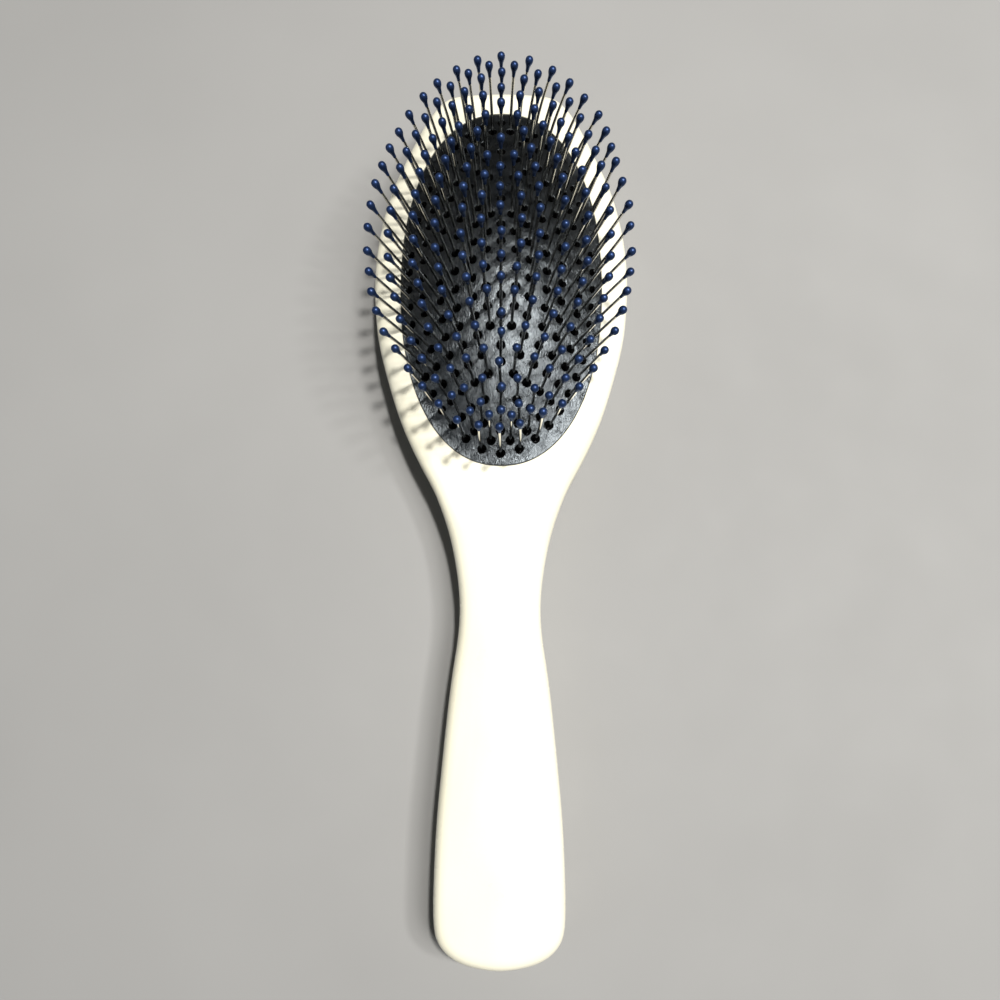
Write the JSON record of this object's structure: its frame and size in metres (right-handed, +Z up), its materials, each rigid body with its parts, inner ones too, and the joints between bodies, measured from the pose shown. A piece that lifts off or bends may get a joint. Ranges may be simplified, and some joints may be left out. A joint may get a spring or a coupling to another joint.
{
  "type": "hair grooming brush",
  "caption": "Oval air-cushion hair brush with rings of ball-tipped steel wire pins in a black rubber cushion, set in a white plastic frame that runs into a flat handle.",
  "frame": {"origin": "on the surface that the brush lies on, under the middle of its length and width", "axes": "+X to the right across the brush, +Y along it from the handle end to the head's tip, +Z up out of the bristle side; the brush lies on its back"},
  "size_m": [0.0686, 0.229, 0.0496],
  "materials": {
    "body_plastic": "moulded white-cream plastic, satin gloss",
    "tray_plastic": "plain moulded inner plastic",
    "cushion_rubber": "thin black rubber, satin, fine streaky grain",
    "pin_steel": "drawn steel wire",
    "pin_tip": "dipped navy blue coating, glossy"
  },
  "bodies": {
    "root": {"front_shell": "body_plastic", "back_shell": "body_plastic", "chamber_tray": "tray_plastic", "cushion": "cushion_rubber"},
    "zone_crown": {"pins_ring5_right_2": "pin_steel", "pins_ring5_left_2": "pin_steel", "pins_ring6_right_1": "pin_steel", "pins_ring6_right_2": "pin_steel", "pins_ring6_left_1": "pin_steel", "pins_ring6_left_2": "pin_steel", "pins_middle_line": "pin_steel"},
    "zone_inner": {"pins_ring4_right_2": "pin_steel", "pins_ring4_right_3": "pin_steel", "pins_ring4_left_2": "pin_steel", "pins_ring4_left_3": "pin_steel", "pins_ring5_right_1": "pin_steel", "pins_ring5_right_3": "pin_steel", "pins_ring5_left_1": "pin_steel", "pins_ring5_left_3": "pin_steel"},
    "zone_middle": {"pins_ring3_right_2": "pin_steel", "pins_ring3_right_3": "pin_steel", "pins_ring3_left_2": "pin_steel", "pins_ring3_left_3": "pin_steel", "pins_ring4_right_1": "pin_steel", "pins_ring4_right_4": "pin_steel", "pins_ring4_left_1": "pin_steel", "pins_ring4_left_4": "pin_steel"},
    "zone_outer": {"pins_ring2_right_1": "pin_steel", "pins_ring2_right_2": "pin_steel", "pins_ring2_right_3": "pin_steel", "pins_ring2_right_4": "pin_steel", "pins_ring2_left_1": "pin_steel", "pins_ring2_left_2": "pin_steel", "pins_ring2_left_3": "pin_steel", "pins_ring2_left_4": "pin_steel", "pins_ring3_right_1": "pin_steel", "pins_ring3_right_4": "pin_steel", "pins_ring3_left_1": "pin_steel", "pins_ring3_left_4": "pin_steel"},
    "zone_edge": {"pins_ring1_right_1": "pin_steel", "pins_ring1_right_2": "pin_steel", "pins_ring1_right_3": "pin_steel", "pins_ring1_right_4": "pin_steel", "pins_ring1_left_1": "pin_steel", "pins_ring1_left_2": "pin_steel", "pins_ring1_left_3": "pin_steel", "pins_ring1_left_4": "pin_steel"}
  },
  "joints": [
    {"name": "press_crown", "type": "slide", "parent": "root", "child": "zone_crown", "axis": [0, 0, -1], "range_m": [0, 0.004], "stiffness_N_per_m": 3750, "deforming": ["cushion"]},
    {"name": "press_inner", "type": "slide", "parent": "root", "child": "zone_inner", "axis": [0, 0, -1], "range_m": [0, 0.00332]},
    {"name": "press_middle", "type": "slide", "parent": "root", "child": "zone_middle", "axis": [0, 0, -1], "range_m": [0, 0.00236]},
    {"name": "press_outer", "type": "slide", "parent": "root", "child": "zone_outer", "axis": [0, 0, -1], "range_m": [0, 0.00108]},
    {"name": "press_edge", "type": "slide", "parent": "root", "child": "zone_edge", "axis": [0, 0, -1], "range_m": [0, 0.00036]}
  ],
  "couplings": [
    {"joint": "press_inner", "follows": "press_crown", "ratio": 0.83},
    {"joint": "press_middle", "follows": "press_crown", "ratio": 0.59},
    {"joint": "press_outer", "follows": "press_crown", "ratio": 0.27},
    {"joint": "press_edge", "follows": "press_crown", "ratio": 0.09}
  ]
}
